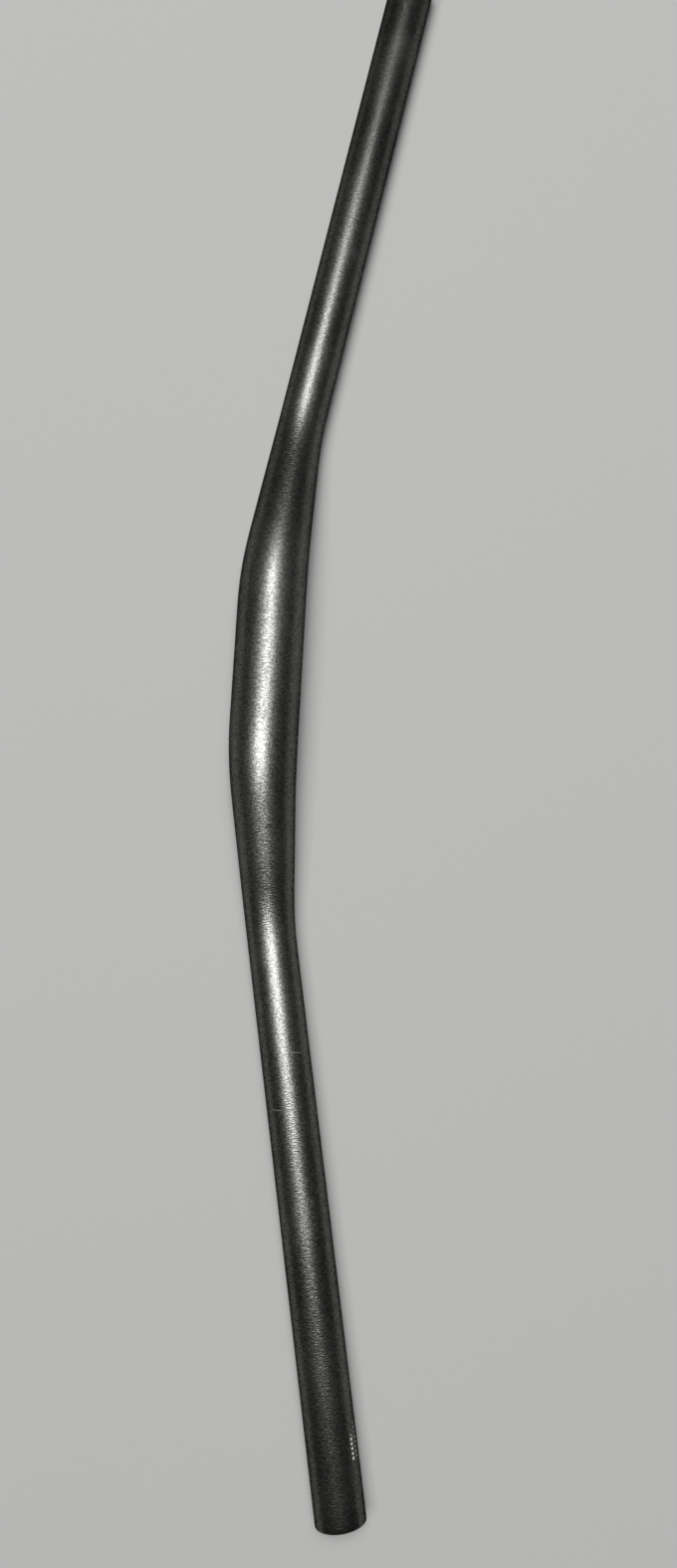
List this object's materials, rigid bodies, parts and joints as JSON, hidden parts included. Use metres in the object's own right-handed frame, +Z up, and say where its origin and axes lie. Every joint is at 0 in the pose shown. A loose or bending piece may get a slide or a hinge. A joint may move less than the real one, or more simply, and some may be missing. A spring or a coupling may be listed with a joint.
{
  "type": "mountain bike handlebar",
  "caption": "Low-rise flat-sweep handlebar: one tapered and bent aluminium tube, thick at the stem clamp, thin at the grips, open at both ends, in satin black.",
  "frame": {"origin": "on the tube's axis, at the middle of the stem clamp's seat", "axes": "+X along the clamp's seat to the rider's left end, +Z up from the surface that the bar lies on, and both ends sweep towards -Y"},
  "size_m": [0.7398, 0.0795, 0.0362],
  "materials": {
    "anodised_tube": "bead-blasted and anodised satin black"
  },
  "bodies": {
    "root": {"handlebar": "anodised_tube"}
  },
  "joints": []
}
